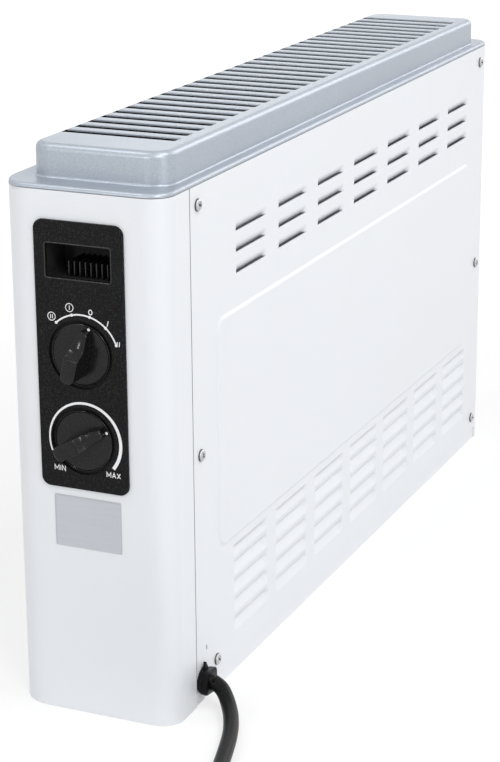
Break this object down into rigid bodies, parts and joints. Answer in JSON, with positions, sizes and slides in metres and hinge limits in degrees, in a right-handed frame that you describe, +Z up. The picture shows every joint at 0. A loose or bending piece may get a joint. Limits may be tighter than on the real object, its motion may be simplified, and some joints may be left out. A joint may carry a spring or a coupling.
{
  "type": "convector heater",
  "caption": "Slim floor-standing convector heater: white steel casing, silver top grille, end control panel with dials, louvred back panel, and a mains cord with plug.",
  "frame": {"origin": "on the floor, under the middle of the casing's base", "axes": "+X along the casing to the control end, +Y out of the back panel with the cord, +Z up"},
  "size_m": [0.8805, 0.1972, 0.364],
  "materials": {
    "casing_white": "white powder coat, semi gloss",
    "screw_steel": "zinc plated",
    "grille_silver": "silver painted moulding",
    "fascia_black": "fine grained black",
    "pocket_black": "black",
    "label_silver": "satin foil",
    "knob_black": "satin black",
    "shaft_steel": "turned",
    "switch_moulding": "cream moulding",
    "inner_sheet": "galvanised sheet",
    "element_sheath": "heat darkened steel",
    "motor_steel": "motor can",
    "rotor_plastic": "black moulding",
    "terminal_white": "natural nylon",
    "cord_rubber": "satin black",
    "wire_insulation": "brown silicone",
    "gland_black": "black",
    "plug_rubber": "satin black",
    "pin_nickel": "nickel plated brass"
  },
  "bodies": {
    "casing": {"casing_wrap": "casing_white", "back_panel": "casing_white", "base_tray": "casing_white", "panel_screws": "screw_steel", "grille_screws": "screw_steel", "control_screws": "screw_steel", "top_grille": "grille_silver", "fascia_plate": "fascia_black", "grip_pocket": "pocket_black", "label_plate": "label_silver", "mode_switch": "switch_moulding", "thermostat_body": "switch_moulding", "heat_shield": "inner_sheet", "element_bracket_middle": "inner_sheet", "element_bracket_far": "inner_sheet", "heating_element_low": "element_sheath", "heating_element_high": "element_sheath", "thermal_cutout": "element_sheath", "fan_strap": "inner_sheet", "fan_motor": "motor_steel", "terminal_block": "terminal_white", "cord_clamp": "terminal_white", "inner_cord": "cord_rubber", "inner_wires": "wire_insulation", "cord_gland": "gland_black", "power_cord": "cord_rubber", "cord_coil": "cord_rubber", "plug_body": "plug_rubber", "plug_pins": "pin_nickel"},
    "mode_control": {"mode_knob": "knob_black", "mode_shaft": "shaft_steel"},
    "thermostat_control": {"thermostat_knob": "knob_black", "thermostat_spindle": "shaft_steel"},
    "fan": {"fan_rotor": "rotor_plastic", "fan_shaft": "shaft_steel"}
  },
  "joints": [
    {"name": "mode_turn", "type": "hinge", "parent": "casing", "child": "mode_control", "pos_m": [0.31, -0.0009, 0.2402], "axis": [-1, 0, 0], "range_deg": [-57, 57]},
    {"name": "thermostat_turn", "type": "hinge", "parent": "casing", "child": "thermostat_control", "pos_m": [0.31, -0.0009, 0.185], "axis": [-1, 0, 0], "range_deg": [-172, 73]},
    {"name": "fan_spin", "type": "hinge", "parent": "casing", "child": "fan", "pos_m": [-0.13, 0, 0.03], "axis": [0, 0, 1], "continuous": true}
  ]
}
